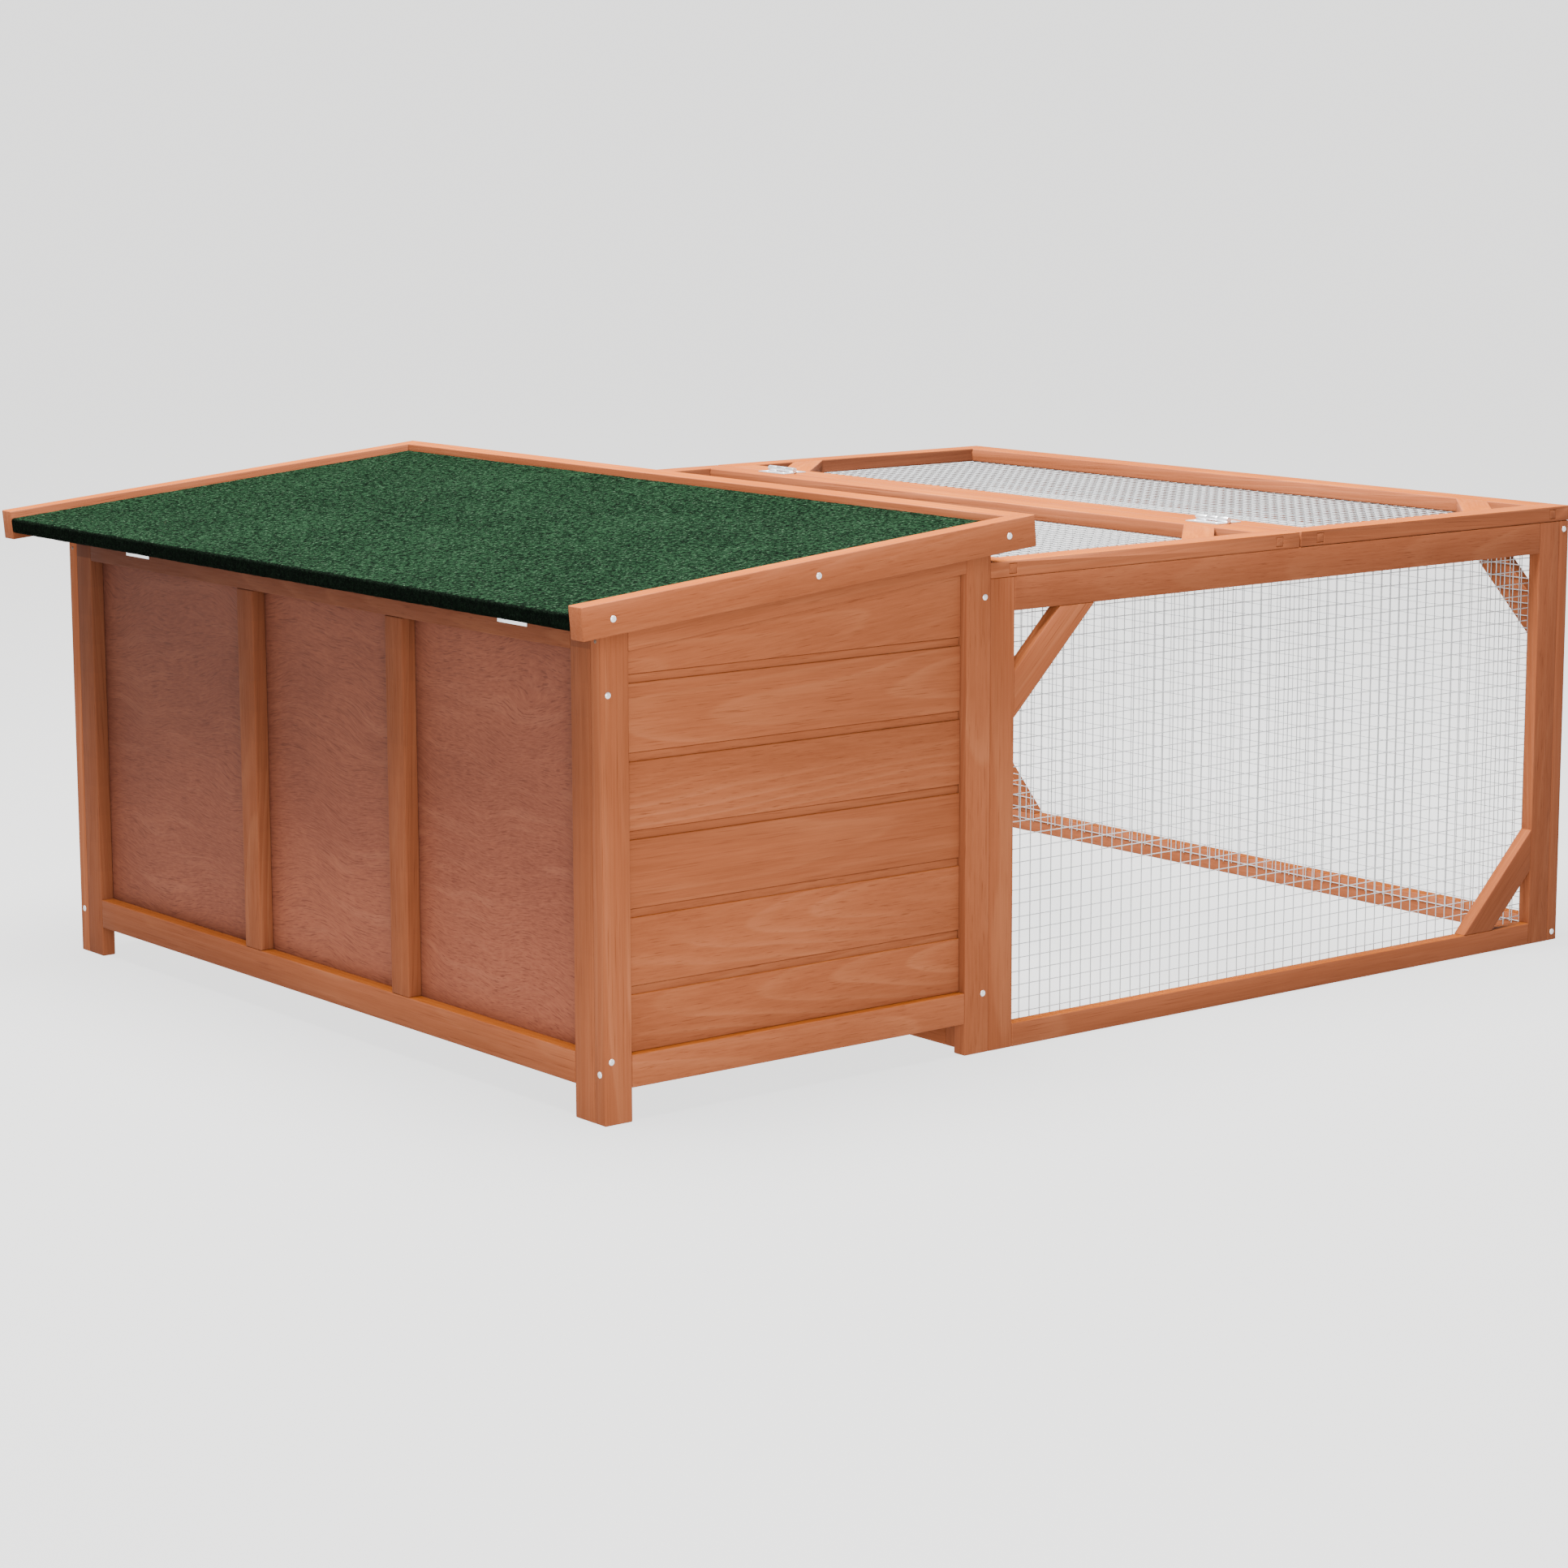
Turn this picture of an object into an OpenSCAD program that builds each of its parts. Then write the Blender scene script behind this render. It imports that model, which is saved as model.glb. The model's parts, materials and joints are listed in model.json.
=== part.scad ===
// Rabbit hutch: a planked sleeping house with a hinged felt roof, and a wire mesh run with a hinged lid.
// +X runs from the house to the run, -Y is the near side, +Z is up.
// The origin is on the ground, under the middle of the hutch.

/* [Overall] */
// Width across the outer faces of the side walls
body_w = 912; // [700:1:1200]
// Length of the house, along its side walls
house_l = 428; // [340:1:600]
// Length of the run, from the house to the outer face of its end panel
run_l = 775; // [600:1:1100]
// Height of the run's side panels
run_h = 432; // [340:1:560]

/* [Laths] */
// Thickness of the posts and rails of the house's side walls
wall_t = 15; // [12:0.5:20]
// Thickness of the laths of every other frame
lath_t = 14; // [10:0.5:18]
// Width of posts, stiles and most rails
lath_w = 28.5; // [20:0.5:40]
// Height of the bottom rails of the run
run_bottom_rail_h = 22; // [16:0.5:40]
// Height of the top rails of the run
run_top_rail_h = 31; // [20:0.5:45]
// Distance along the frame from a corner to the near edge of a corner brace
brace_leg = 55; // [35:1:90]
// Width of a corner brace
brace_w = 30; // [18:0.5:40]

/* [House] */
// Height of the house's bottom rails above the ground
leg_clear = 29.5; // [15:0.5:60]
// How far the roof's underside at the low end wall is above the run's side panels
eave_rise = 2; // [0:0.5:40]
// Height of the side walls' top rail at its low end
side_top_rail_low_h = 34; // [22:0.5:45]
// Height of the side walls' top rail at its high end
side_top_rail_high_h = 30; // [20:0.5:45]
// Height of the low end wall's top rail
end_top_rail_h = 31.5; // [20:0.5:45]
// Distance from the near side wall's outer face to the middle of the near mullion
near_mullion_y = 315; // [250:1:330]
// Distance from the near side wall's outer face to the middle of the far mullion
far_mullion_y = 571.5; // [480:1:640]
// Thickness of the plywood infill panels
ply_t = 4; // [3:0.5:8]
// How far a plywood panel laps onto the frame that carries it
ply_lap = 10; // [5:1:14]
// Thickness of the floor
floor_t = 6; // [4:0.5:12]
// Height of the laths that carry the floor
bearer_h = 22; // [15:0.5:28]
// Height of the doorway into the run, above the floor
door_h = 236; // [180:1:280]

/* [Planks] */
// Height from one plank to the next
plank_pitch = 66.5; // [45:0.5:90]
// Height of the stepped band at the top of each plank
plank_reveal = 7.6; // [4:0.2:12]
// Depth of that step
plank_step = 2.2; // [1:0.1:3]
// How far the planks stand back from the outer face of the wall
plank_recess = 8; // [4:0.5:9]
// Height of the lowest plank's lower edge if it were not trimmed by the rail
first_plank_z = 48.7; // [40:0.1:60]

/* [Roof] */
// Slope of the roof, in degrees
roof_slope = 5; // [3:0.5:9]
// Overhang of the roof past the low end wall, along the slope
eave_over = 49; // [30:1:70]
// Overhang of the roof past the divider, along the slope
high_over = 13.865; // [8:0.005:40]
// Overhang of the roof past each side wall
side_over = 44; // [30:1:70]
// Thickness of the roof board
board_t = 10; // [6:0.5:16]
// Thickness of the roofing felt
felt_t = 2.4; // [1.5:0.1:4]
// How far the felt is turned back under the board at the eave
felt_turn = 22; // [10:1:26]
// Height of the barge boards
barge_h = 28.5; // [22:0.5:45]
// Thickness of the barge boards and of the high end board
barge_t = 18.5; // [12:0.5:24]
// How far the barge boards stand above the felt
barge_proud = 7.2; // [3:0.2:12]

/* [Run top] */
// Thickness of the two mesh frames on top of the run
top_t = 14.5; // [11:0.5:20]
// Width of the cross rails of those frames
cross_w = 31; // [24:0.5:40]
// Length of the lid, along the run
lid_l = 386; // [300:1:500]
// Overhang of the lid past the run's end panel
lid_over = 2; // [0:0.5:6]
// Width and height of the tenons that show on the sides of the frames
tenon = 9; // [6:0.5:10]

/* [Mesh] */
// Spacing of the wires
mesh_pitch = 12.7; // [10:0.1:30]
// Diameter of the wire
wire_d = 0.9; // [0.8:0.1:2]
// How far the mesh laps onto the frame that carries it
mesh_lap = 9; // [4:0.5:13]

/* [Hardware] */
// Length of a hinge
hinge_l = 44; // [30:1:60]
// Width of one hinge leaf, from the hinge's axis
leaf_w = 16; // [12:0.5:22]
// Thickness of a hinge leaf
leaf_t = 1.2; // [0.8:0.1:2]
// Radius of a hinge's knuckles
knuckle_r = 3; // [2.5:0.1:4]
// Radius of a hinge pin
pin_r = 1.4; // [1:0.1:1.8]
// Distance from each side of the hutch to the middle of a lid hinge
lid_hinge_inset = 118; // [90:1:220]
// Distance from the near side of the hutch to the middle of the near roof hinge
near_roof_hinge_y = 127; // [80:1:220]
// Distance from the far side of the hutch to the middle of the far roof hinge
far_roof_hinge_y = 141; // [80:1:220]
// Radius of a frame screw's head
screw_r = 2.9; // [2.5:0.1:4.5]
// Height of a frame screw's head
screw_h = 1.2; // [0.8:0.1:2]
// Radius of the sliding bolt
bolt_r = 2.5; // [2:0.1:3.5]
// Travel of the sliding bolt
bolt_travel = 13; // [12:0.5:14]

/* [Clearances] */
// Gap between the wall tops and the roof board
roof_gap = 0.5; // [0.3:0.1:2]
// Gap under the closed lid
lid_gap = 0.3; // [0.3:0.1:1]
// Gap between the fixed frame and the lid
seam_gap = 1.5; // [1:0.1:4]
// Gap between neighbouring knuckles of a hinge
knuckle_gap = 0.4; // [0.3:0.1:0.8]
// Gap in the joint between two planks
plank_gap = 0.3; // [0.1:0.1:1]
// Radial clearance of a hinge pin in the moving leaf
pin_clear = 0.05; // [0.03:0.01:0.1]
// Gap between hinge leaves and the wood or leaf that they swing past
leaf_gap = 0.3; // [0.3:0.1:0.6]
// Radial clearance of the bolt in its guides
bolt_clear = 0.08; // [0.05:0.01:0.1]
// Gap between the mesh and the side panels or other meshes beside it
mesh_gap = 3; // [2:0.5:6]

/* [Hidden] */
fir = "#C87A45";
fir_top = "#D98A4E";
plywood = "#B5654A";
felt_green = "#1F5A35";
steel = "#C9CCD0";

run_x = house_l;
end_x = house_l + run_l;
panel_x = end_x - lath_t;
house_in_x = house_l - lath_t;
bottom_rail_top = leg_clear + lath_w;
floor_top = bottom_rail_top + floor_t;
eave_h = run_h + eave_rise;
bay_near = near_mullion_y + lath_w / 2;
bay_far = far_mullion_y - lath_w / 2;

n_felt = board_t + felt_t;
n_top = n_felt + barge_proud;
s_low = -eave_over;
s_high = house_l / cos(roof_slope) + high_over;
barge_in = barge_t - side_over;

lid_x1 = end_x + lid_over;
lid_x0 = lid_x1 - lid_l;
fixed_x1 = lid_x0 - seam_gap;
lid_z = run_h + lid_gap;
hinge_x = lid_x0 - seam_gap / 2;
lid_hinge_z = lid_z + top_t + knuckle_r + leaf_gap;

roof_axis_gap = knuckle_r + leaf_gap;
roof_axis_x = -roof_axis_gap;
roof_axis_z = eave_h + roof_axis_x * tan(roof_slope) - roof_axis_gap / cos(roof_slope);

bolt_stand = 0.6;
guide_wall = 1.6;
bolt_x = lid_x1 + leaf_t + bolt_r + bolt_stand;
guide_r = bolt_r + guide_wall;
bolt_y = body_w / 2;
bolt_rest_gap = 1;
bolt_rest_top = lid_z - bolt_rest_gap;

x_min = s_low * cos(roof_slope) - n_top * sin(roof_slope);
x_max = bolt_x + guide_r;
x_mid = (x_min + x_max) / 2;
y_mid = body_w / 2;
eps = 0.01;

// Height of the roof's underside above a place along the house
function under_z(x) = eave_h + x * tan(roof_slope);
// Height of the wall tops there
function wall_z(x) = under_z(x) - roof_gap;
// Lower edge of the side walls' top rail
function side_rail_z(x) =
  let (low = wall_z(lath_w) - side_top_rail_low_h)
  let (high = wall_z(house_l - lath_w) - side_top_rail_high_h)
  low + (high - low) * (x - lath_w) / (house_l - 2 * lath_w);

// Puts the hutch's own corner-based frame over the origin
module place() {
  translate([-x_mid, -y_mid, 0]) children();
}

// The far side of a mirrored pair
module far_side() {
  translate([0, body_w, 0]) mirror([0, 1, 0]) children();
}

// A box from its lowest to its highest corner
module block(low, high) {
  translate(low) cube(high - low);
}

// A solid whose outline lies in X and Z, between two places along Y
module side_prism(outline, y0, y1) {
  translate([0, y1, 0]) rotate([90, 0, 0]) linear_extrude(y1 - y0) polygon(outline);
}

// A solid whose outline lies in Y and Z, between two places along X
module end_prism(outline, x0, x1) {
  translate([x0, 0, 0]) rotate([90, 0, 90]) linear_extrude(x1 - x0) polygon(outline);
}

// ---- House side walls ----

module wall_post(x0, x1) {
  side_prism([[x0, 0], [x1, 0], [x1, wall_z(x1)], [x0, wall_z(x0)]], 0, wall_t);
}

module wall_posts() {
  wall_post(0, lath_w);
  wall_post(house_l - lath_w, house_l);
}

module wall_top_rail() {
  x0 = lath_w;
  x1 = house_l - lath_w;
  side_prism([[x0, side_rail_z(x0)], [x1, side_rail_z(x1)], [x1, wall_z(x1)], [x0, wall_z(x0)]], 0, wall_t);
}

module wall_bottom_rail() {
  block([lath_w, 0, leg_clear], [house_l - lath_w, wall_t, bottom_rail_top]);
}

// One plank: a stepped board between the posts, trimmed by the rails
module wall_plank(index) {
  x0 = lath_w;
  x1 = house_l - lath_w;
  low = first_plank_z + index * plank_pitch;
  high = low + plank_pitch;
  intersection() {
    union() {
      block([x0, plank_recess, low], [x1, wall_t, high - plank_reveal]);
      block([x0, plank_recess + plank_step, low], [x1, wall_t, high - plank_gap]);
    }
    side_prism([
      [x0, bottom_rail_top], [x1, bottom_rail_top],
      [x1, side_rail_z(x1)], [x0, side_rail_z(x0)]
    ], -1, wall_t + 1);
  }
}

module wall_planks() {
  highest = side_rail_z(house_l - lath_w);
  for (i = [0 : ceil((highest - first_plank_z) / plank_pitch) - 1]) wall_plank(i);
}

module near_wall_posts() { color(fir) place() wall_posts(); }
module near_wall_top_rail() { color(fir) place() wall_top_rail(); }
module near_wall_bottom_rail() { color(fir) place() wall_bottom_rail(); }
module near_wall_planks() { color(fir_top) place() wall_planks(); }
module far_wall_posts() { color(fir) place() far_side() wall_posts(); }
module far_wall_top_rail() { color(fir) place() far_side() wall_top_rail(); }
module far_wall_bottom_rail() { color(fir) place() far_side() wall_bottom_rail(); }
module far_wall_planks() { color(fir_top) place() far_side() wall_planks(); }

// ---- Low end wall ----

module end_wall_posts() {
  color(fir) place() for (y = [wall_t, body_w - wall_t - lath_w])
    block([0, y, 0], [lath_t, y + lath_w, wall_z(0)]);
}

module end_wall_mullions() {
  color(fir) place() for (y = [near_mullion_y, far_mullion_y])
    block([0, y - lath_w / 2, bottom_rail_top], [lath_t, y + lath_w / 2, wall_z(0) - end_top_rail_h]);
}

module end_wall_top_rail() {
  color(fir) place()
    block([0, wall_t + lath_w, wall_z(0) - end_top_rail_h], [lath_t, body_w - wall_t - lath_w, wall_z(0)]);
}

module end_wall_bottom_rail() {
  color(fir) place()
    block([0, wall_t + lath_w, leg_clear], [lath_t, body_w - wall_t - lath_w, bottom_rail_top]);
}

// A plywood panel behind one bay of a frame, lapping onto its four sides
module bay_panel(x0, y0, y1, z0, z1) {
  block([x0, y0 - ply_lap, z0 - ply_lap], [x0 + ply_t, y1 + ply_lap, z1 + ply_lap]);
}

module end_wall_panels() {
  z1 = wall_z(0) - end_top_rail_h;
  bays = [
    [wall_t + lath_w, near_mullion_y - lath_w / 2],
    [bay_near, bay_far],
    [far_mullion_y + lath_w / 2, body_w - wall_t - lath_w]
  ];
  color(plywood) place() for (bay = bays)
    bay_panel(lath_t, bay[0], bay[1], bottom_rail_top, z1);
}

// ---- Divider between the house and the run ----

door_top = floor_top + door_h;
header_top = door_top + lath_w;
divider_top = wall_z(house_in_x);
// The top rail always reaches down behind the run's fixed top frame
divider_rail_lap = 5;
divider_rail_z = min(divider_top - lath_w, run_h + top_t - divider_rail_lap);

module divider_stiles() {
  color(fir) place() for (y = [wall_t, body_w - wall_t - lath_w])
    block([house_in_x, y, 0], [house_l, y + lath_w, divider_top]);
}

module divider_mullions() {
  color(fir) place() for (y = [near_mullion_y, far_mullion_y])
    block([house_in_x, y - lath_w / 2, lath_w], [house_l, y + lath_w / 2, divider_rail_z]);
}

module divider_rails() {
  color(fir) place() for (span = [[0, lath_w], [divider_rail_z, divider_top]])
    block([house_in_x, wall_t + lath_w, span[0]], [house_l, body_w - wall_t - lath_w, span[1]]);
}

module doorway_header() {
  color(fir) place()
    block([house_in_x, bay_near, door_top], [house_l, bay_far, header_top]);
}

// Two full bays, the piece over the doorway and the riser under it
module divider_panels() {
  low = lath_w;
  x0 = house_in_x - ply_t;
  color(plywood) place() {
    bay_panel(x0, wall_t + lath_w, near_mullion_y - lath_w / 2, low, divider_rail_z);
    bay_panel(x0, far_mullion_y + lath_w / 2, body_w - wall_t - lath_w, low, divider_rail_z);
    bay_panel(x0, bay_near, bay_far, header_top, divider_rail_z);
    block([x0, bay_near - ply_lap, lath_w - ply_lap], [house_in_x, bay_far + ply_lap, floor_top]);
  }
}

// ---- Floor ----

module floor_panel() {
  color(plywood) place()
    block([lath_t + ply_t, wall_t, bottom_rail_top], [house_in_x - ply_t, body_w - wall_t, floor_top]);
}

// Two laths on the side walls and one along the middle
module floor_bearers() {
  middles = [wall_t + lath_t / 2, body_w / 2, body_w - wall_t - lath_t / 2];
  color(fir) place() for (y = middles)
    block([lath_t + ply_t, y - lath_t / 2, bottom_rail_top - bearer_h],
          [house_in_x - ply_t, y + lath_t / 2, bottom_rail_top]);
}

// ---- Frames of the run ----

// A corner brace in a plane: corner at the origin, legs along +U and +V
brace_far_leg = brace_leg + brace_w * sqrt(2);
brace_outline = [[brace_leg, 0], [brace_far_leg, 0], [0, brace_far_leg], [0, brace_leg]];

// Braces across two opposite corners of an opening from (u0, v0) to (u1, v1).
// low_start puts one brace at the corner (u0, v0), and otherwise one is at (u1, v0).
module opening_braces(u0, u1, v0, v1, thickness, low_start) {
  linear_extrude(thickness) {
    translate([low_start ? u0 : u1, v0]) mirror([low_start ? 0 : 1, 0]) polygon(brace_outline);
    translate([low_start ? u1 : u0, v1]) mirror([low_start ? 1 : 0, 0]) mirror([0, 1])
      polygon(brace_outline);
  }
}

// Welded mesh: wires along V in front, wires along U behind them, in the plane of U and V
module wire_mesh(u0, u1, v0, v1) {
  nu = floor((u1 - u0) / mesh_pitch);
  nv = floor((v1 - v0) / mesh_pitch);
  du = (u1 - u0 - nu * mesh_pitch) / 2;
  dv = (v1 - v0 - nv * mesh_pitch) / 2;
  for (i = [0 : nu])
    translate([u0 + du + i * mesh_pitch, v0, wire_d / 2]) rotate([-90, 0, 0])
      cylinder(d = wire_d, h = v1 - v0, $fn = 16);
  for (j = [0 : nv])
    translate([u0, v0 + dv + j * mesh_pitch, 1.5 * wire_d + eps]) rotate([0, 90, 0])
      cylinder(d = wire_d, h = u1 - u0, $fn = 16);
}

// Side panel of the run, on the near side, with its outer face at Y = 0
module run_side_stiles() {
  for (x = [run_x, panel_x - lath_w]) block([x, 0, 0], [x + lath_w, lath_t, run_h]);
}

module run_side_rails() {
  x0 = run_x + lath_w;
  x1 = panel_x - lath_w;
  block([x0, 0, 0], [x1, lath_t, run_bottom_rail_h]);
  block([x0, 0, run_h - run_top_rail_h], [x1, lath_t, run_h]);
}

module run_side_braces(low_start) {
  translate([0, lath_t, 0]) rotate([90, 0, 0])
    opening_braces(run_x + lath_w, panel_x - lath_w, run_bottom_rail_h, run_h - run_top_rail_h,
                   lath_t, low_start);
}

module run_side_mesh() {
  translate([0, lath_t + 2 * wire_d + 2 * eps, 0]) rotate([90, 0, 0])
    wire_mesh(run_x + lath_w - mesh_lap, panel_x - lath_w + mesh_lap,
              run_bottom_rail_h - mesh_lap, run_h - run_top_rail_h + mesh_lap);
}

module near_run_stiles() { color(fir) place() run_side_stiles(); }
module near_run_rails() { color(fir) place() run_side_rails(); }
module near_run_braces() { color(fir_top) place() run_side_braces(false); }
module near_run_mesh() { color(steel) place() run_side_mesh(); }
module far_run_stiles() { color(fir) place() far_side() run_side_stiles(); }
module far_run_rails() { color(fir) place() far_side() run_side_rails(); }
module far_run_braces() { color(fir_top) place() far_side() run_side_braces(true); }
module far_run_mesh() { color(steel) place() far_side() run_side_mesh(); }

// End panel of the run, over the ends of the side panels
module run_end_stiles() {
  color(fir) place() for (y = [0, body_w - lath_w])
    block([panel_x, y, 0], [end_x, y + lath_w, run_h]);
}

module run_end_rails() {
  color(fir) place() {
    block([panel_x, lath_w, 0], [end_x, body_w - lath_w, run_bottom_rail_h]);
    block([panel_x, lath_w, run_h - run_top_rail_h], [end_x, body_w - lath_w, run_h]);
  }
}

// Lays a drawing in U and V into the plane of Y and Z, at a place along X
module in_end_plane(x) {
  translate([x, 0, 0]) rotate([90, 0, 90]) children();
}

module run_end_braces() {
  color(fir_top) place() in_end_plane(panel_x)
    opening_braces(lath_w, body_w - lath_w, run_bottom_rail_h, run_h - run_top_rail_h, lath_t, false);
}

module run_end_mesh() {
  inset = lath_t + 2 * wire_d + mesh_gap;
  color(steel) place() in_end_plane(panel_x - 2 * wire_d - 2 * eps)
    wire_mesh(inset, body_w - inset, run_bottom_rail_h - mesh_lap, run_h - run_top_rail_h + mesh_lap);
}

// ---- Frames on top of the run ----

// Tenons at both ends of a cross rail, beside the rail's inner edge
module frame_tenons(x_inner, toward, z0) {
  x0 = toward > 0 ? x_inner - tenon : x_inner;
  for (y = [0, body_w - lath_w])
    block([x0, y, z0 + (top_t - tenon) / 2], [x0 + tenon, y + lath_w, z0 + (top_t + tenon) / 2]);
}

// Side rails of a top frame, mortised through for the cross rails
module top_side_rails(x0, x1, z0) {
  difference() {
    for (y = [0, body_w - lath_w]) block([x0, y, z0], [x1, y + lath_w, z0 + top_t]);
    frame_tenons(x0 + cross_w, 1, z0);
    frame_tenons(x1 - cross_w, -1, z0);
  }
}

module top_cross_rails(x0, x1, z0) {
  for (x = [x0, x1 - cross_w])
    block([x, lath_w, z0], [x + cross_w, body_w - lath_w, z0 + top_t]);
  frame_tenons(x0 + cross_w, 1, z0);
  frame_tenons(x1 - cross_w, -1, z0);
}

module top_braces(x0, x1, z0) {
  translate([0, 0, z0])
    opening_braces(x0 + cross_w, x1 - cross_w, lath_w, body_w - lath_w, top_t, false);
}

// Mesh under a top frame, between the side panels
module top_mesh(x0, x1, z0) {
  inset = lath_t + mesh_gap;
  translate([0, 0, z0 - 2 * wire_d - 2 * eps])
    wire_mesh(x0 + cross_w - mesh_lap, x1 - cross_w + mesh_lap, inset, body_w - inset);
}

module fixed_top_side_rails() { color(fir_top) place() top_side_rails(run_x, fixed_x1, run_h); }
module fixed_top_cross_rails() { color(fir_top) place() top_cross_rails(run_x, fixed_x1, run_h); }
module fixed_top_braces() { color(fir) place() top_braces(run_x, fixed_x1, run_h); }
module fixed_top_mesh() { color(steel) place() top_mesh(run_x, fixed_x1, run_h); }
module lid_side_rails() { color(fir_top) place() top_side_rails(lid_x0, lid_x1, lid_z); }
module lid_cross_rails() { color(fir_top) place() top_cross_rails(lid_x0, lid_x1, lid_z); }
module lid_braces() { color(fir) place() top_braces(lid_x0, lid_x1, lid_z); }
module lid_mesh() { color(steel) place() top_mesh(lid_x0, lid_x1, lid_z); }

// ---- Roof ----
// Outlines are drawn with S along the slope, from the outer face of the low end wall, and N square to it.

module on_roof() {
  translate([0, 0, eave_h]) rotate([0, -roof_slope, 0]) children();
}

module roof_prism(outline, y0, y1) {
  on_roof() side_prism(outline, y0, y1);
}

module roof_board() {
  s0 = s_low + felt_t;
  s1 = s_high - barge_t;
  color(plywood) place()
    roof_prism([[s0, 0], [s1, 0], [s1, board_t], [s0, board_t]], barge_in, body_w - barge_in);
}

// Felt over the board, down its low edge and back under it
module roof_felt() {
  s1 = s_high - barge_t;
  outline = [
    [s1, board_t], [s1, n_felt], [s_low, n_felt], [s_low, -felt_t],
    [s_low + felt_turn, -felt_t], [s_low + felt_turn, 0], [s_low + felt_t, 0], [s_low + felt_t, board_t]
  ];
  color(felt_green) place() roof_prism(outline, barge_in, body_w - barge_in);
}

module barge_board() {
  n0 = n_top - barge_h;
  roof_prism([[s_low, n0], [s_high, n0], [s_high, n_top], [s_low, n_top]], -side_over, barge_in);
}

module near_barge_board() { color(fir_top) place() barge_board(); }
module far_barge_board() { color(fir_top) place() far_side() barge_board(); }

module roof_high_board() {
  s0 = s_high - barge_t;
  color(fir_top) place()
    roof_prism([[s0, 0], [s_high, 0], [s_high, n_top], [s0, n_top]], barge_in, body_w - barge_in);
}

// ---- Hinges ----
// A hinge is drawn with its axis along Y through the origin and its leaves flat on the plane Z = seat.

knuckle_l = (hinge_l - 2 * knuckle_gap) / 3;

module along_y(length, radius) {
  translate([0, length / 2, 0]) rotate([90, 0, 0]) cylinder(h = length, r = radius, $fn = 32);
}

module knuckles(middles, bore) {
  difference() {
    for (y = middles) translate([0, y, 0]) along_y(knuckle_l, knuckle_r);
    along_y(hinge_l + 2, bore);
  }
}

// One leaf on the side that toward gives (1 or -1), joined to its knuckles by a web under them
module hinge_leaf(middles, toward, seat, bore) {
  x0 = toward > 0 ? leaf_gap : -leaf_w;
  x1 = toward > 0 ? leaf_w : -leaf_gap;
  knuckles(middles, bore);
  difference() {
    union() {
      block([toward > 0 ? knuckle_r + leaf_gap : -leaf_w, -hinge_l / 2, seat],
            [toward > 0 ? leaf_w : -knuckle_r - leaf_gap, hinge_l / 2, seat + leaf_t]);
      for (y = middles)
        block([x0, y - knuckle_l / 2, seat], [x1, y + knuckle_l / 2, seat + leaf_t]);
    }
    along_y(hinge_l + 2, bore);
  }
}

outer_knuckles = [-(knuckle_l + knuckle_gap), knuckle_l + knuckle_gap];
middle_knuckle = [0];

module lid_hinge_places() {
  place() for (y = [lid_hinge_inset, body_w - lid_hinge_inset])
    translate([hinge_x, y, lid_hinge_z]) children();
}

module lid_hinge_fixed_leaves() {
  color(steel) lid_hinge_places()
    hinge_leaf(outer_knuckles, -1, run_h + top_t - lid_hinge_z, pin_r);
}

module lid_hinge_lid_leaves() {
  color(steel) lid_hinge_places()
    hinge_leaf(middle_knuckle, 1, lid_z + top_t - lid_hinge_z, pin_r + pin_clear);
}

module lid_hinge_pins() {
  color(steel) lid_hinge_places() along_y(hinge_l, pin_r);
}

module roof_hinge_places() {
  place() for (y = [near_roof_hinge_y, body_w - far_roof_hinge_y])
    translate([roof_axis_x, y, roof_axis_z]) children();
}

// Leaf on the face of the low end wall, hanging down from the axis
module roof_hinge_wall_leaves() {
  color(steel) roof_hinge_places() rotate([0, 90, 0])
    hinge_leaf(outer_knuckles, 1, roof_axis_gap - leaf_t, pin_r);
}

// Leaf under the board's overhang
module roof_hinge_roof_leaves() {
  color(steel) roof_hinge_places() rotate([0, -roof_slope, 0])
    hinge_leaf(middle_knuckle, -1, roof_axis_gap - leaf_t, pin_r + pin_clear);
}

module roof_hinge_pins() {
  color(steel) roof_hinge_places() along_y(hinge_l, pin_r);
}

// ---- Sliding bolt that holds the lid shut, on the end panel ----

guide_h = 4;
knob_r = 2;
knob_gap = 0.5;
guide_drop = 3;
high_guide_z = run_h - guide_h - guide_drop;
low_guide_z = high_guide_z - guide_h - bolt_travel - 2 * (knob_r + knob_gap);
knob_z = low_guide_z + guide_h + knob_gap + knob_r;
bolt_tail = 8;
bolt_l = bolt_rest_top - low_guide_z + bolt_tail;
knob_l = 6;
keeper_z = lid_z + (top_t - guide_h) / 2;
plate_half = 14;
plate_inset = 1;

// A guide: a ring round the bolt with a foot on the face behind it
module guide(x_face, z) {
  difference() {
    union() {
      translate([bolt_x, bolt_y, z]) cylinder(r = guide_r, h = guide_h, $fn = 32);
      block([x_face, bolt_y - guide_r, z], [bolt_x, bolt_y + guide_r, z + guide_h]);
    }
    translate([bolt_x, bolt_y, z - 1]) cylinder(r = bolt_r + bolt_clear, h = guide_h + 2, $fn = 32);
  }
}

module lid_bolt_plate() {
  color(steel) place() {
    block([end_x, bolt_y - plate_half, low_guide_z],
          [end_x + leaf_t, bolt_y + plate_half, run_h - plate_inset]);
    for (z = [low_guide_z, high_guide_z]) guide(end_x + leaf_t, z);
  }
}

module lid_bolt() {
  color(steel) place() {
    translate([bolt_x, bolt_y, bolt_rest_top - bolt_l]) cylinder(r = bolt_r, h = bolt_l, $fn = 32);
    translate([bolt_x, bolt_y, knob_z]) rotate([90, 0, 0])
      cylinder(r = knob_r, h = guide_r + knob_l, $fn = 32);
  }
}

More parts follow.
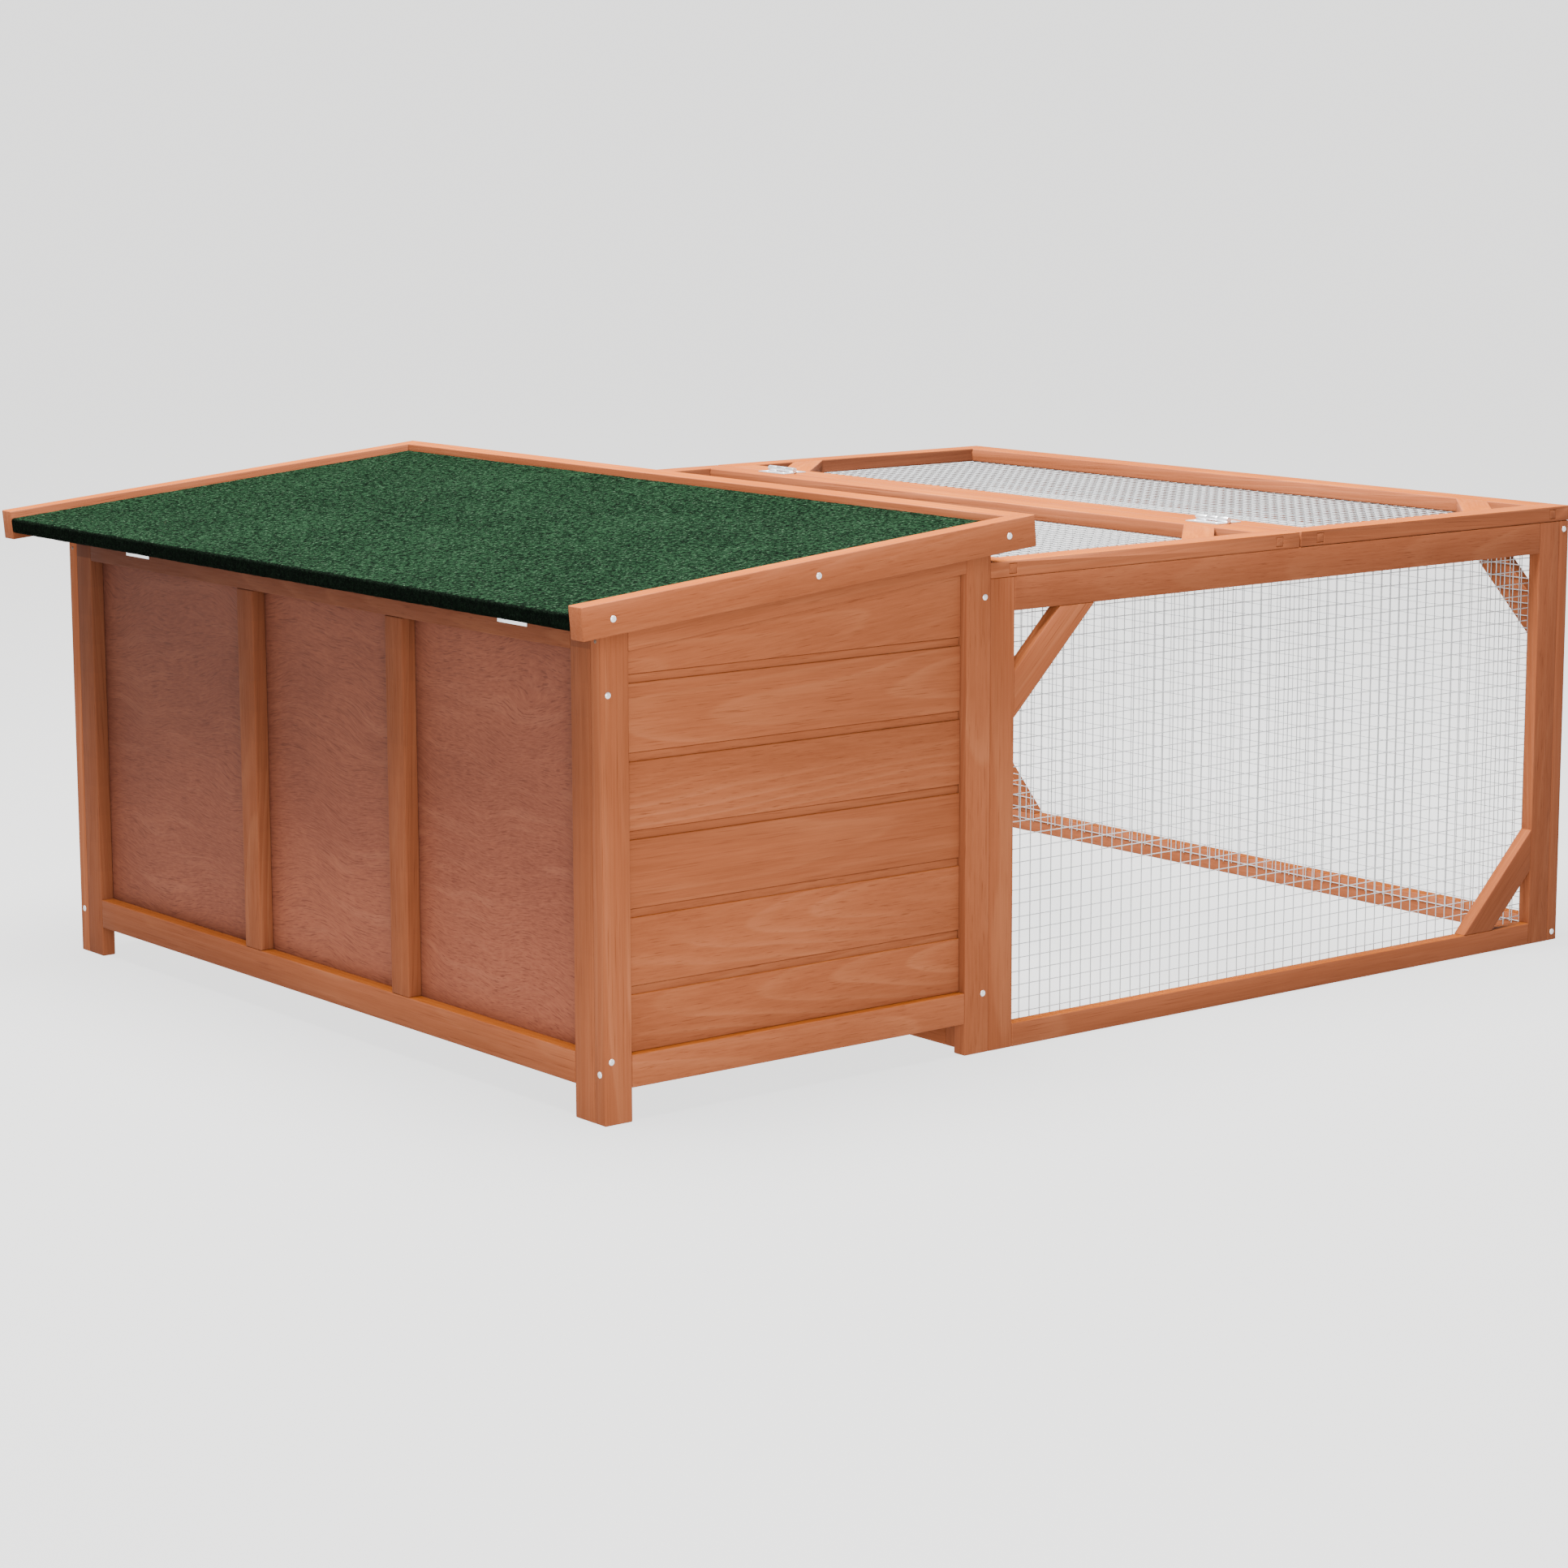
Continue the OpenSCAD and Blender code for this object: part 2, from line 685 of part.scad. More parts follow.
module lid_bolt_keeper() {
  color(steel) place() {
    block([lid_x1, bolt_y - plate_half, lid_z + plate_inset],
          [lid_x1 + leaf_t, bolt_y + plate_half, lid_z + top_t - plate_inset]);
    guide(lid_x1 + leaf_t, keeper_z);
  }
}

// ---- Screws ----

// A low domed head with a cross recess, on a face whose outward normal is +Z
module screw_head(radius = screw_r, height = screw_h) {
  slot_w = radius / 4;
  difference() {
    union() {
      cylinder(r = radius, h = height * 0.5, $fn = 24);
      cylinder(r = radius * 0.8, h = height, $fn = 24);
    }
    for (turn = [0, 90]) rotate([0, 0, turn])
      translate([-radius * 0.5, -slot_w / 2, height * 0.6]) cube([radius, slot_w, height]);
  }
}

module near_face_screw(x, z) { translate([x, 0, z]) rotate([90, 0, 0]) screw_head(); }
module low_face_screw(y, z) { translate([0, y, z]) rotate([0, -90, 0]) screw_head(); }

// Heights of the screws in the house's posts, above the rails' lower edge and below the wall's top
post_screw_rise = 25.65;
post_screw_drop = 66.5;
face_screw_drop = 21.5;
// Distances of the screws in the run from its side panels' lower and upper edges
run_screw_rise = 8.8;
run_screw_drop = 8.5;
divider_screw_drop = 16;

// Screws of one side: into the edges of the end wall, the divider and the run's end panel
module side_screws() {
  near_face_screw(lath_t / 2, leg_clear + post_screw_rise);
  near_face_screw(lath_t / 2, wall_z(0) - post_screw_drop);
  near_face_screw(house_l - lath_t / 2, leg_clear + post_screw_rise);
  near_face_screw(house_l - lath_t / 2, run_h - divider_screw_drop);
  near_face_screw(end_x - lath_t / 2, run_screw_rise);
  near_face_screw(end_x - lath_t / 2, run_h - run_screw_drop);
  low_face_screw(wall_t / 2, leg_clear + lath_w / 2);
  low_face_screw(wall_t / 2, wall_z(0) - face_screw_drop);
}

module end_panel_screws() {
  for (z = [run_bottom_rail_h / 2, run_h / 2, run_h - run_top_rail_h / 2])
    translate([end_x, lath_t / 2, z]) rotate([0, 90, 0]) screw_head();
}

hinge_screw_r = 2;
hinge_screw_h = 0.8;
hinge_screw_x = (leaf_w + knuckle_r) / 2;

module hinge_screws(toward, seat) {
  for (y = [-hinge_l / 3, hinge_l / 3])
    translate([toward * hinge_screw_x, y, seat + leaf_t]) screw_head(hinge_screw_r, hinge_screw_h);
}

bolt_screw_offset = 9.5;

module bolt_screws(x, z) {
  for (side = [-1, 1])
    translate([x, bolt_y + side * bolt_screw_offset, z]) rotate([0, 90, 0])
      screw_head(hinge_screw_r, hinge_screw_h);
}

module frame_screws() {
  color("white") {
    place() {
      side_screws();
      far_side() side_screws();
      end_panel_screws();
      far_side() end_panel_screws();
      bolt_screws(end_x + leaf_t, run_h - run_top_rail_h / 2);
    }
    lid_hinge_places() hinge_screws(-1, run_h + top_t - lid_hinge_z);
    roof_hinge_places() rotate([0, 90, 0]) mirror([0, 0, 1])
      hinge_screws(1, -roof_axis_gap);
  }
}

module lid_screws() {
  color("white") {
    lid_hinge_places() hinge_screws(1, lid_z + top_t - lid_hinge_z);
    place() bolt_screws(lid_x1 + leaf_t, keeper_z + guide_h / 2);
  }
}

barge_screw_inset = 31;
high_screw_inset = 40;
high_screws = 5;
high_screw_pitch = (body_w - 2 * barge_in - 2 * high_screw_inset) / (high_screws - 1);

module barge_screws() {
  for (s = [s_low + barge_screw_inset, (s_low + s_high) / 2, s_high - barge_screw_inset])
    translate([s, -side_over, board_t / 2]) rotate([90, 0, 0]) screw_head();
}

module roof_screws() {
  color("white") {
    place() {
      on_roof() {
        barge_screws();
        far_side() barge_screws();
        for (i = [0 : high_screws - 1])
          translate([s_high, barge_in + high_screw_inset + i * high_screw_pitch, board_t / 2])
            rotate([0, 90, 0]) screw_head();
      }
    }
    roof_hinge_places() rotate([0, -roof_slope, 0]) mirror([0, 0, 1])
      hinge_screws(-1, -roof_axis_gap);
  }
}

near_wall_posts();
near_wall_top_rail();
near_wall_bottom_rail();
near_wall_planks();
far_wall_posts();
far_wall_top_rail();
far_wall_bottom_rail();
far_wall_planks();
end_wall_posts();
end_wall_mullions();
end_wall_top_rail();
end_wall_bottom_rail();
end_wall_panels();
divider_stiles();
divider_mullions();
divider_rails();
doorway_header();
divider_panels();
floor_panel();
floor_bearers();
near_run_stiles();
near_run_rails();
near_run_braces();
near_run_mesh();
far_run_stiles();
far_run_rails();
far_run_braces();
far_run_mesh();
run_end_stiles();
run_end_rails();
run_end_braces();
run_end_mesh();
fixed_top_side_rails();
fixed_top_cross_rails();
fixed_top_braces();
fixed_top_mesh();
lid_side_rails();
lid_cross_rails();
lid_braces();
lid_mesh();
roof_board();
roof_felt();
near_barge_board();
far_barge_board();
roof_high_board();
roof_hinge_wall_leaves();
roof_hinge_roof_leaves();
roof_hinge_pins();
lid_hinge_fixed_leaves();
lid_hinge_lid_leaves();
lid_hinge_pins();
lid_bolt_plate();
lid_bolt();
lid_bolt_keeper();
frame_screws();
roof_screws();
lid_screws();
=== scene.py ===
import json
import math
import random

import bpy
import bmesh
from mathutils import Euler, Matrix, Vector


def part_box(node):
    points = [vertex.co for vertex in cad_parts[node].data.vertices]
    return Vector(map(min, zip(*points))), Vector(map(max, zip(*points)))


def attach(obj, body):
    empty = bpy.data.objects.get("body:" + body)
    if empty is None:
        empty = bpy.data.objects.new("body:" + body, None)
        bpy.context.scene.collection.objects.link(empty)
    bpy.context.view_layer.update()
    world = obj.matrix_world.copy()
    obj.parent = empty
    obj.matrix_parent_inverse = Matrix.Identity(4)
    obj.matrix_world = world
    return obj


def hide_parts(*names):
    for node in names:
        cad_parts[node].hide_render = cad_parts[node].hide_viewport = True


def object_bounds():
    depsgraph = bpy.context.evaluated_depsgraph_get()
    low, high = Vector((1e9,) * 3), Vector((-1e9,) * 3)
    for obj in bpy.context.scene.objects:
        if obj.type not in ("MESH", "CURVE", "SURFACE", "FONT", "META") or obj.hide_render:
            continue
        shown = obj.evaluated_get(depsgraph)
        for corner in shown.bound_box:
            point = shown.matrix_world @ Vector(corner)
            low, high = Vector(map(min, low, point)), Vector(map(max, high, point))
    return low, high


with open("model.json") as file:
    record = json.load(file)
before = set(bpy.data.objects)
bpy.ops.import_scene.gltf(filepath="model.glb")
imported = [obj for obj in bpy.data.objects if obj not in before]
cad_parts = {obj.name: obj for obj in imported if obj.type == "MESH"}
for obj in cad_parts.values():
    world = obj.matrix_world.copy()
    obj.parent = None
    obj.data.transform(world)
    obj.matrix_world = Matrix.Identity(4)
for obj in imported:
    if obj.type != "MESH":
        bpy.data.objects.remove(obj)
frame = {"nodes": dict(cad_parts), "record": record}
cadLow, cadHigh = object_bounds()
mm = 0.001
print("frame loaded:", len(frame["nodes"]), "nodes")


# camera, in degrees and metres

cameraView = {
    "place": (-2.4647, -3.0841, 0.8530),
    "azimuth": 38.329,
    "pitch": 9.835,
    "roll": 0.154,
    "lens": 90.725,
    "sensor": 36.0,
}


def addCamera():
    bpy.ops.object.camera_add(location=cameraView["place"])
    camera = bpy.context.object
    camera.name = "camera"
    camera.rotation_euler = (
        math.radians(90 - cameraView["pitch"]),
        math.radians(cameraView["roll"]),
        math.radians(-cameraView["azimuth"]),
    )
    camera.data.lens = cameraView["lens"]
    camera.data.sensor_width = cameraView["sensor"]
    camera.data.clip_end = 100
    bpy.context.scene.camera = camera


addCamera()
print("camera placed")


# small helpers, and the limits that every piece shares

shared = {
    "mergeWithin": 0.01 * mm,
    "flatWithin": math.radians(0.5),
    "sharpFrom": math.radians(20),
    "smoothWood": math.radians(40),
    "smoothFelt": math.radians(60),
    "smoothWire": math.radians(60),
    "smoothScrew": math.radians(35),
}


def pickOnly(*objects):
    bpy.ops.object.select_all(action="DESELECT")
    for obj in objects:
        obj.select_set(True)
    bpy.context.view_layer.objects.active = objects[-1]


def applyModifier(obj, modifier):
    pickOnly(obj)
    bpy.ops.object.modifier_apply(modifier=modifier.name)


def settle(obj):
    # the place, turn and size go into the mesh
    pickOnly(obj)
    bpy.ops.object.transform_apply(location=True, rotation=True, scale=True)


def finishPiece(obj, name, body, slot, material, *nodes):
    obj.name = name
    obj.data.name = name
    obj.data.materials.clear()
    obj.data.materials.append(material)
    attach(obj, body)
    if nodes:
        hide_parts(*nodes)


def bodyOf(node):
    for body, members in frame["record"]["behaviour"]["bodies"].items():
        if node in members:
            return body
    raise ValueError(node)


# node trees

class Tree:
    def __init__(self, name):
        self.material = bpy.data.materials.new(name)
        self.material.use_nodes = True
        self.nodes = self.material.node_tree.nodes
        self.links = self.material.node_tree.links
        self.nodes.clear()
        self.output = self.nodes.new("ShaderNodeOutputMaterial")
        self.shader = self.nodes.new("ShaderNodeBsdfPrincipled")
        self.links.new(self.shader.outputs[0], self.output.inputs[0])

    def put(self, socket, value):
        if isinstance(value, bpy.types.NodeSocket):
            self.links.new(value, socket)
        else:
            socket.default_value = value

    def math(self, operation, a, b=0.0, clamp=False):
        node = self.nodes.new("ShaderNodeMath")
        node.operation = operation
        node.use_clamp = clamp
        self.put(node.inputs[0], a)
        self.put(node.inputs[1], b)
        return node.outputs[0]

    def vector(self, operation, a, b=(0, 0, 0)):
        node = self.nodes.new("ShaderNodeVectorMath")
        node.operation = operation
        self.put(node.inputs[0], a)
        self.put(node.inputs[1], b)
        return node.outputs["Value" if operation == "LENGTH" else "Vector"]

    def split(self, value):
        node = self.nodes.new("ShaderNodeSeparateXYZ")
        self.put(node.inputs[0], value)
        return node.outputs

    def join(self, x, y, z):
        node = self.nodes.new("ShaderNodeCombineXYZ")
        for socket, value in zip(node.inputs, (x, y, z)):
            self.put(socket, value)
        return node.outputs[0]

    def attribute(self, name, output="Vector"):
        node = self.nodes.new("ShaderNodeAttribute")
        node.attribute_name = name
        return node.outputs[output]

    def objectCoords(self):
        return self.nodes.new("ShaderNodeTexCoord").outputs["Object"]

    def upward(self):
        return self.split(self.nodes.new("ShaderNodeNewGeometry").outputs["True Normal"])[2]

    def noise(self, coords, scale=1.0, detail=2.0, roughness=0.5, distortion=0.0):
        node = self.nodes.new("ShaderNodeTexNoise")
        self.put(node.inputs["Vector"], coords)
        node.inputs["Scale"].default_value = scale
        node.inputs["Detail"].default_value = detail
        node.inputs["Roughness"].default_value = roughness
        node.inputs["Distortion"].default_value = distortion
        return node.outputs["Fac"]

    def voronoi(self, coords, scale, output):
        node = self.nodes.new("ShaderNodeTexVoronoi")
        self.put(node.inputs["Vector"], coords)
        node.inputs["Scale"].default_value = scale
        return node.outputs[output]

    def remap(self, value, low, high, newLow=0.0, newHigh=1.0):
        node = self.nodes.new("ShaderNodeMapRange")
        node.clamp = True
        self.put(node.inputs["Value"], value)
        node.inputs["From Min"].default_value = low
        node.inputs["From Max"].default_value = high
        node.inputs["To Min"].default_value = newLow
        node.inputs["To Max"].default_value = newHigh
        return node.outputs[0]

    def mix(self, factor, a, b, blend="MIX"):
        node = self.nodes.new("ShaderNodeMix")
        node.data_type = "RGBA"
        node.blend_type = blend
        self.put(node.inputs[0], factor)
        self.put(node.inputs[6], a)
        self.put(node.inputs[7], b)
        return node.outputs[2]

    def bump(self, height, strength, distance):
        node = self.nodes.new("ShaderNodeBump")
        node.inputs["Strength"].default_value = strength
        node.inputs["Distance"].default_value = distance
        self.put(node.inputs["Height"], height)
        return node.outputs[0]

    def finish(self, color, roughness, normal=None, gloss=0.5):
        self.put(self.shader.inputs["Base Color"], color)
        self.shader.inputs["Specular IOR Level"].default_value = gloss
        self.put(self.shader.inputs["Roughness"], roughness)
        if normal:
            self.put(self.shader.inputs["Normal"], normal)
        return self.material


# stained fir: every lath carries its own place in the log as the attribute "log",
# with X along the trunk and the rings round the X axis

firLook = {
    "dark": (0.138, 0.0375, 0.0135, 1),
    "light": (0.222, 0.0680, 0.0280, 1),
    "line": (0.310, 0.118, 0.054, 1),
    "fine": (0.095, 0.024, 0.008, 1),
    # painted light: the tint multiplied into faces that face upwards
    "weathered": (0.92, 0.76, 0.28, 1),
    # painted shade: the dark colour mixed in where the wood is darkened
    "sheltered": (0.030, 0.012, 0.009, 1),
    "ring": 6.5 * mm,
    "warp": 30 * mm,
    "warpScale": (2.2, 9, 9),
    "streakScale": (5, 420, 420),
    "fibreScale": (40, 1900, 1900),
    "poreScale": (14, 900, 900),
    "cloudScale": (3.5, 16, 16),
    "cloudShare": 0.40,
    "streakShare": 0.36,
    "shadeShare": 0.24,
    "fibreShare": 0.14,
    "poreShare": 0.55,
    "relief": 0.40,
    "reliefDepth": 0.25 * mm,
    "roughness": 0.56,
    "gloss": 0.02,
}


def firMaterial():
    look = firLook
    tree = Tree("stained_fir")
    log = tree.attribute("log")
    shade = tree.attribute("shade", "Fac")
    x, y, z = tree.split(log)
    warp = tree.noise(tree.vector("MULTIPLY", log, look["warpScale"]), 1.0, 2.0)
    radius = tree.vector("LENGTH", tree.join(0.0, y, z))
    bent = tree.math("ADD", radius, tree.math("MULTIPLY", warp, look["warp"]))
    phase = tree.math("FRACT", tree.math("DIVIDE", bent, look["ring"]))
    # a pale band just inside each ring's edge
    late = tree.math("MULTIPLY", tree.remap(phase, 0.45, 0.86), tree.remap(phase, 0.90, 1.0, 1.0, 0.0))
    streak = tree.noise(tree.vector("MULTIPLY", log, look["streakScale"]), 1.0, 3.0, 0.6)
    fibre = tree.noise(tree.vector("MULTIPLY", log, look["fibreScale"]), 1.0, 2.0, 0.6)
    pore = tree.noise(tree.vector("MULTIPLY", log, look["poreScale"]), 1.0, 2.0, 0.5)
    cloud = tree.noise(tree.vector("MULTIPLY", log, look["cloudScale"]), 1.0, 3.0, 0.55)
    tone = tree.math("ADD", tree.math("MULTIPLY", tree.remap(cloud, 0.30, 0.70), look["cloudShare"]),
                     tree.math("MULTIPLY", tree.remap(streak, 0.30, 0.70), look["streakShare"]))
    tone = tree.math("ADD", tone, tree.math("MULTIPLY", shade, look["shadeShare"]))
    fine = tree.math("MULTIPLY", tree.remap(fibre, 0.35, 0.65), look["fibreShare"])
    tone = tree.math("ADD", tone, fine, clamp=True)
    color = tree.mix(tone, look["dark"], look["light"])
    strength = tree.math("MULTIPLY", late, tree.remap(cloud, 0.40, 0.75, 0.03, 0.34))
    color = tree.mix(strength, color, look["line"])
    color = tree.mix(tree.remap(pore, 0.60, 0.72, 0.0, look["poreShare"]), color, look["fine"])
    # painted light: faces that face upwards are tinted yellower, as if lit from above
    upward = tree.remap(tree.upward(), 0.6, 0.9)
    color = tree.mix(upward, color, tree.mix(1.0, color, look["weathered"], "MULTIPLY"))
    # painted shade: darker where the face attribute marks it
    color = tree.mix(tree.attribute("shelter", "Fac"), color, look["sheltered"])
    height = tree.math("ADD", tree.math("MULTIPLY", streak, 0.5), tree.math("MULTIPLY", fibre, 0.35))
    height = tree.math("ADD", height, tree.math("MULTIPLY", late, 0.25))
    height = tree.math("SUBTRACT", height, tree.remap(pore, 0.60, 0.72, 0.0, 0.5))
    normal = tree.bump(height, look["relief"], look["reliefDepth"])
    roughness = tree.remap(streak, 0.3, 0.7, look["roughness"] + 0.08, look["roughness"] - 0.06)
    return tree.finish(color, roughness, normal, look["gloss"])


fir = firMaterial()


plywoodLook = {
    "dark": (0.136, 0.0375, 0.0195, 1),
    "light": (0.240, 0.0750, 0.0385, 1),
    "figure": (0.300, 0.1100, 0.0610, 1),
    "fleck": (0.080, 0.0205, 0.0105, 1),
    # painted shade: the dark colour mixed in where the plywood is darkened
    "sheltered": (0.030, 0.012, 0.010, 1),
    "swirl": 120 * mm,
    "swirlScale": (4.0, 5.5, 5.5),
    "fleckScale": (110, 640, 640),
    "hairScale": (60, 1100, 1100),
    "figureScale": (7, 70, 70),
    "cloudScale": (5, 7, 7),
    "fleckShare": 0.50,
    "cloudShare": 0.45,
    "figureShare": 0.26,
    "hairShare": 0.55,
    "relief": 0.35,
    "reliefDepth": 0.2 * mm,
    "roughness": 0.66,
    "gloss": 0.08,
}


def plywoodMaterial():
    look = plywoodLook
    tree = Tree("stained_plywood")
    log = tree.attribute("log")
    swirl = tree.noise(tree.vector("MULTIPLY", log, look["swirlScale"]), 1.0, 2.0, 0.5)
    turned = tree.vector("ADD", log, tree.join(0.0, tree.math("MULTIPLY", swirl, look["swirl"]), 0.0))
    fleck = tree.noise(tree.vector("MULTIPLY", turned, look["fleckScale"]), 1.0, 2.0, 0.6)
    hair = tree.noise(tree.vector("MULTIPLY", turned, look["hairScale"]), 1.0, 1.0, 0.5)
    figure = tree.noise(tree.vector("MULTIPLY", turned, look["figureScale"]), 1.0, 3.0, 0.6, 0.4)
    cloud = tree.noise(tree.vector("MULTIPLY", log, look["cloudScale"]), 1.0, 2.0, 0.5)
    tone = tree.math("ADD", tree.math("MULTIPLY", tree.remap(fleck, 0.3, 0.7), look["fleckShare"]),
                     tree.math("MULTIPLY", tree.remap(cloud, 0.3, 0.7), look["cloudShare"]), clamp=True)
    color = tree.mix(tone, look["dark"], look["light"])
    color = tree.mix(tree.remap(figure, 0.54, 0.72, 0.0, look["figureShare"]), color, look["figure"])
    color = tree.mix(tree.remap(hair, 0.58, 0.68, 0.0, look["hairShare"]), color, look["fleck"])
    # painted shade, as on the fir
    color = tree.mix(tree.attribute("shelter", "Fac"), color, look["sheltered"])
    height = tree.math("SUBTRACT", fleck, tree.remap(hair, 0.58, 0.68, 0.0, 0.5))
    normal = tree.bump(height, look["relief"], look["reliefDepth"])
    return tree.finish(color, look["roughness"], normal, look["gloss"])


plywood = plywoodMaterial()


# mineral granules on bitumen: black between the granules, and on the turned edge

feltLook = {
    "pitch": (0.0002, 0.0005, 0.0003, 1),
    "green": (0.0012, 0.0050, 0.0020, 1),
    "bright": (0.0074, 0.0200, 0.0092, 1),
    "pale": (0.034, 0.060, 0.036, 1),
    "edge": (0.0008, 0.0016, 0.0009, 1),
    "lumpScale": 250.0,
    "grainScale": 640.0,
    "fleckScale": (240, 330, 330),
    "patchScale": 9.0,
    "lumpShare": 0.62,
    "grainShare": 0.40,
    "patchShare": 0.10,
    "fleckShare": 0.80,
    "wornShare": 0.85,
    "relief": 1.0,
    "reliefDepth": 2.2 * mm,
    "roughness": 0.95,
    "gloss": 0.01,
}


def feltMaterial():
    look = feltLook
    tree = Tree("granular_felt")
    coords = tree.objectCoords()
    lump = tree.noise(coords, look["lumpScale"], 2.0, 0.65)
    grain = tree.noise(coords, look["grainScale"], 2.0, 0.65)
    stretched = tree.vector("MULTIPLY", coords, look["fleckScale"])
    speck = tree.voronoi(stretched, 1.0, "Distance")
    chance = tree.split(tree.voronoi(stretched, 1.0, "Color"))[0]
    patch = tree.noise(coords, look["patchScale"], 3.0)
    tone = tree.math("ADD", tree.math("MULTIPLY", tree.remap(lump, 0.36, 0.62), look["lumpShare"]),
                     tree.math("MULTIPLY", tree.remap(grain, 0.36, 0.64), look["grainShare"]))
    broad = tree.math("MULTIPLY", tree.remap(patch, 0.3, 0.7), look["patchShare"])
    tone = tree.math("ADD", tone, broad, clamp=True)
    color = tree.mix(tree.remap(tone, 0.15, 0.55), look["pitch"], look["green"])
    color = tree.mix(tree.remap(tone, 0.55, 0.95), color, look["bright"])
    fleck = tree.math("MULTIPLY", tree.remap(speck, 0.36, 0.12, 0.0, look["fleckShare"]),
                      tree.remap(chance, 0.62, 0.80))
    color = tree.mix(fleck, color, look["pale"])
    # the turned edge has lost its granules
    worn = tree.attribute("edge", "Fac")
    color = tree.mix(tree.math("MULTIPLY", worn, look["wornShare"]), color, look["edge"])
    height = tree.math("ADD", tree.math("MULTIPLY", lump, 1.4), grain)
    height = tree.math("ADD", height, tree.math("MULTIPLY", fleck, 0.5))
    normal = tree.bump(height, look["relief"], look["reliefDepth"])
    return tree.finish(color, look["roughness"], normal, look["gloss"])


felt = feltMaterial()


zincLooks = {
    "galvanised_wire": {"tone": (0.34, 0.345, 0.35), "roughness": 0.42, "metallic": 0.35, "scale": 160},
    "zinc_plate": {"tone": (0.74, 0.75, 0.77), "roughness": 0.32, "metallic": 0.9, "scale": 260},
    "screw_zinc": {"tone": (0.62, 0.62, 0.63), "roughness": 0.36, "metallic": 0.55, "scale": 400},
    # painted shade: a dark brown for the two screw heads under the eave
    "aged_screw": {"tone": (0.10, 0.06, 0.04), "roughness": 0.55, "metallic": 0.5, "scale": 400},
}
spangleShare = 0.10
mottleShare = 0.16
dullTone = 0.45  # how bright the dull patches are beside the rest


def zincMaterial(name):
    look = zincLooks[name]
    tree = Tree(name)
    coords = tree.objectCoords()
    spangle = tree.split(tree.voronoi(coords, look["scale"], "Color"))[0]
    mottle = tree.noise(coords, look["scale"] * 0.6, 2.0)
    value = tree.math("ADD", tree.math("MULTIPLY", spangle, spangleShare),
                      tree.math("MULTIPLY", mottle, mottleShare))
    dull = tuple(part * dullTone for part in look["tone"])
    color = tree.mix(value, look["tone"] + (1,), dull + (1,))
    tree.shader.inputs["Metallic"].default_value = look["metallic"]
    roughness = tree.remap(mottle, 0.3, 0.7, look["roughness"] - 0.06, look["roughness"] + 0.10)
    return tree.finish(color, roughness)


wireZinc, hingeZinc, screwZinc, screwShadeDark = (zincMaterial(name) for name in zincLooks)
print("materials made")


# wooden pieces, from the frame's own solids

woodLook = {
    "arris": 1.1 * mm,
    "plywoodArris": 0.4 * mm,
    "arrisSteps": 3,
    "pithNear": 22 * mm,
    "pithFar": 95 * mm,
    "tilt": 0.06,
    "logSpread": 9,
    # from here down to the eave amount: where and how much shade is painted into the wood's colour
    "shelterFrom": 60 * mm,
    "shelterTo": 430 * mm,
    "shelterRise": 0.34,
    "shelterFar": 0.36,
    "runFrom": -0.20,
    "runShelter": 0.34,
    "innerShelter": 0.30,
    "innerFrom": 0.3,
    "eaveLine": 400 * mm,
    "eaveShelter": 0.14,
    "cell": 30 * mm,
    "seed": 11,
}
dice = random.Random(woodLook["seed"])


def solidsOf(node):
    # the node's separate solids, each as a new object of clean flat faces
    mesh = frame["nodes"][node].data.copy()
    whole = bpy.data.objects.new(node + "_copy", mesh)
    bpy.context.scene.collection.objects.link(whole)
    pickOnly(whole)
    bpy.ops.object.mode_set(mode="EDIT")
    bpy.ops.mesh.select_all(action="SELECT")
    bpy.ops.mesh.remove_doubles(threshold=shared["mergeWithin"])
    bpy.ops.mesh.customdata_custom_splitnormals_clear()
    bpy.ops.mesh.dissolve_limited(angle_limit=shared["flatWithin"])
    bpy.ops.mesh.separate(type="LOOSE")
    bpy.ops.object.mode_set(mode="OBJECT")
    parts = list(bpy.context.selected_objects)
    for part in parts:
        part.data.name = part.name

    def middle(part):
        points = [v.co for v in part.data.vertices]
        centre = sum(points, Vector()) / len(points)
        return tuple(round(c, 3) for c in centre)

    return sorted(parts, key=middle)


def grainFrame(part):
    # length along the longest edge, thickness square to the widest face
    mesh = part.data
    ends = [(mesh.vertices[e.vertices[0]].co, mesh.vertices[e.vertices[1]].co) for e in mesh.edges]
    a, b = max(ends, key=lambda pair: (pair[0] - pair[1]).length)
    along = (b - a).normalized()
    if max(along, key=abs) < 0:
        along = -along
    sides = [f for f in mesh.polygons if abs(f.normal.dot(along)) < 0.2]
    through = max(sides, key=lambda f: f.area).normal.copy()
    through = (through - along * through.dot(along)).normalized()
    across = through.cross(along)
    return along, across, through


def writeLog(part, along, across, through):
    mesh = part.data
    points = [v.co for v in mesh.vertices]
    centre = sum(points, Vector()) / len(points)
    away = dice.uniform(woodLook["pithNear"], woodLook["pithFar"])
    slope = dice.uniform(-1, 1) * woodLook["tilt"]
    aside = dice.uniform(-0.5, 0.5) * away
    shift = dice.uniform(-woodLook["logSpread"], woodLook["logSpread"])
    attribute = mesh.attributes.new("log", "FLOAT_VECTOR", "POINT")
    for vertex, item in zip(mesh.vertices, attribute.data):
        p = vertex.co - centre
        x = p.dot(along)
        item.vector = (x + shift, p.dot(across) + aside, p.dot(through) + away + slope * x)
    tint = mesh.attributes.new("shade", "FLOAT", "POINT")
    value = dice.uniform(0, 1)
    tint.data.foreach_set("value", [value] * len(mesh.vertices))


